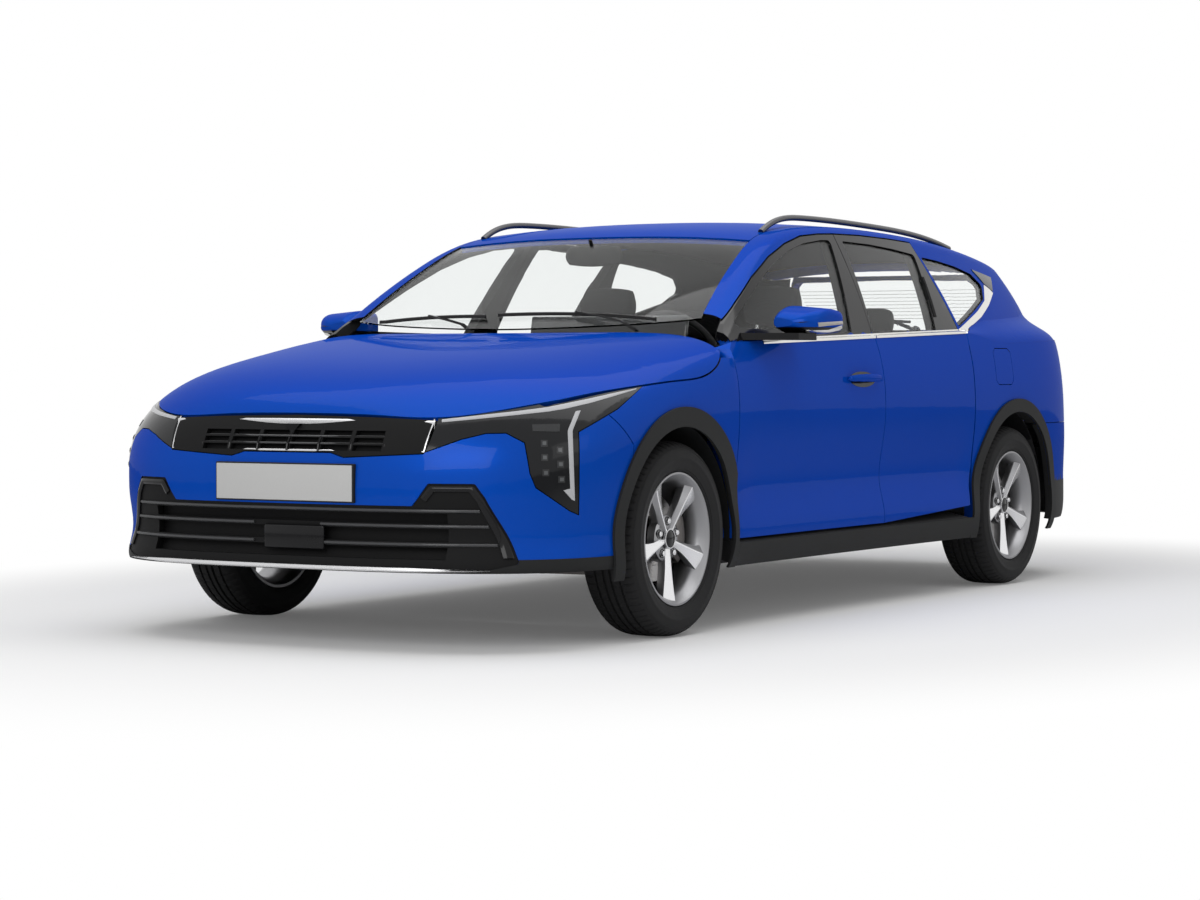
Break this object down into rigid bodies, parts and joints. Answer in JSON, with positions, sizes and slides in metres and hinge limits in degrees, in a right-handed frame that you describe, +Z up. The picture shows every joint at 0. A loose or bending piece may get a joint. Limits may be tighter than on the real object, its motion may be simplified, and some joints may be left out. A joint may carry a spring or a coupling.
{
  "type": "station wagon",
  "caption": "Five-door station wagon with opening doors, lid, tailgate and fuel flap, steered front wheels, a hollow cabin and load space, and roof rails.",
  "frame": {"origin": "on the ground at the middle of the car's length and width", "axes": "+X forward to the nose, +Y to the car's left, +Z up"},
  "size_m": [4.6983, 2.1062, 1.4266],
  "materials": {
    "alloy": "machined and painted",
    "black_trim": "gloss",
    "body_paint": "gloss metallic blue",
    "dark_plastic": "matt",
    "glass": "clear, tinted",
    "iron": "as cast",
    "lamp_glass": "clear, smoked",
    "rail_dark": "satin dark",
    "seat_cloth": "woven",
    "tail_lens": "gloss",
    "tyre_rubber": "matt",
    "under_steel": "satin black"
  },
  "bodies": {
    "body": {"body_side_left": "body_paint", "body_side_right": "body_paint", "cladding": "body_paint", "cowl": "black_trim", "dashboard": "dark_plastic", "engine_block": "iron", "fender_left": "body_paint", "fender_right": "body_paint", "fixed_glass": "glass", "floor_pan": "under_steel", "front_bumper": "body_paint", "front_frame": "under_steel", "front_seats": "seat_cloth", "front_subframe": "iron", "headlamps": "lamp_glass", "lower_grille": "dark_plastic", "rear_axle": "iron", "rear_bench": "seat_cloth", "rear_bumper": "body_paint", "roof_panel": "body_paint", "roof_rails": "rail_dark", "tail_lamps": "tail_lens", "upper_grille": "black_trim"},
    "hood": {"hood": "body_paint"},
    "tailgate": {"tailgate": "body_paint", "tailgate_glass": "glass"},
    "door_front_left": {"front_door_left": "body_paint", "front_door_glass_left": "glass", "door_mirror_left": "body_paint"},
    "door_front_right": {"front_door_right": "body_paint", "front_door_glass_right": "glass", "door_mirror_right": "body_paint"},
    "door_rear_left": {"rear_door_left": "body_paint", "rear_door_glass_left": "glass"},
    "door_rear_right": {"rear_door_right": "body_paint", "rear_door_glass_right": "glass"},
    "fuel_flap": {"fuel_flap": "body_paint"},
    "steer_left": {"knuckle_left": "iron"},
    "steer_right": {"knuckle_right": "iron"},
    "steering_wheel": {"steering_wheel": "dark_plastic"},
    "road_wheel_front_left": {"wheel_front_left": "alloy", "tyre_front_left": "tyre_rubber"},
    "road_wheel_front_right": {"wheel_front_right": "alloy", "tyre_front_right": "tyre_rubber"},
    "road_wheel_rear_left": {"wheel_rear_left": "alloy", "tyre_rear_left": "tyre_rubber"},
    "road_wheel_rear_right": {"wheel_rear_right": "alloy", "tyre_rear_right": "tyre_rubber"}
  },
  "joints": [
    {"name": "hood_hinge", "type": "hinge", "parent": "body", "child": "hood", "pos_m": [1.078, 0, 0.962], "axis": [0, 1, 0], "range_deg": [-55, 0]},
    {"name": "tailgate_hinge", "type": "hinge", "parent": "body", "child": "tailgate", "pos_m": [-1.7895, 0, 1.339], "axis": [0, 1, 0], "range_deg": [0, 75]},
    {"name": "front_door_left_hinge", "type": "hinge", "parent": "body", "child": "door_front_left", "pos_m": [1.0375, 0.91, 0.6], "axis": [0, 0, -1], "range_deg": [0, 66]},
    {"name": "front_door_right_hinge", "type": "hinge", "parent": "body", "child": "door_front_right", "pos_m": [1.0375, -0.91, 0.6], "axis": [0, 0, 1], "range_deg": [0, 66]},
    {"name": "rear_door_left_hinge", "type": "hinge", "parent": "body", "child": "door_rear_left", "pos_m": [-0.1005, 0.907, 0.6], "axis": [0, 0, -1], "range_deg": [0, 66]},
    {"name": "rear_door_right_hinge", "type": "hinge", "parent": "body", "child": "door_rear_right", "pos_m": [-0.1005, -0.907, 0.6], "axis": [0, 0, 1], "range_deg": [0, 66]},
    {"name": "fuel_flap_hinge", "type": "hinge", "parent": "body", "child": "fuel_flap", "pos_m": [-1.098, 0.908, 0.87], "axis": [0, 0, -1], "range_deg": [0, 80]},
    {"name": "steer_left_kingpin", "type": "hinge", "parent": "body", "child": "steer_left", "pos_m": [1.4225, 0.742, 0.205], "axis": [0, -0.2321, 0.9727], "range_deg": [-35, 35]},
    {"name": "steer_right_kingpin", "type": "hinge", "parent": "body", "child": "steer_right", "pos_m": [1.4225, -0.742, 0.205], "axis": [0, 0.2321, 0.9727], "range_deg": [-35, 35]},
    {"name": "steering_wheel_turn", "type": "hinge", "parent": "body", "child": "steering_wheel", "pos_m": [0.56, 0.37, 0.88], "axis": [-0.9063, 0, 0.4226], "range_deg": [-520, 520]},
    {"name": "wheel_front_left_spin", "type": "hinge", "parent": "steer_left", "child": "road_wheel_front_left", "pos_m": [1.4225, 0.795, 0.316], "axis": [0, 1, 0], "continuous": true},
    {"name": "wheel_front_right_spin", "type": "hinge", "parent": "steer_right", "child": "road_wheel_front_right", "pos_m": [1.4225, -0.795, 0.316], "axis": [0, 1, 0], "continuous": true},
    {"name": "wheel_rear_left_spin", "type": "hinge", "parent": "body", "child": "road_wheel_rear_left", "pos_m": [-1.2975, 0.795, 0.316], "axis": [0, 1, 0], "continuous": true},
    {"name": "wheel_rear_right_spin", "type": "hinge", "parent": "body", "child": "road_wheel_rear_right", "pos_m": [-1.2975, -0.795, 0.316], "axis": [0, 1, 0], "continuous": true}
  ],
  "couplings": [
    {"joint": "steer_right_kingpin", "follows": "steer_left_kingpin", "ratio": 1},
    {"joint": "steering_wheel_turn", "follows": "steer_left_kingpin", "ratio": 14}
  ]
}
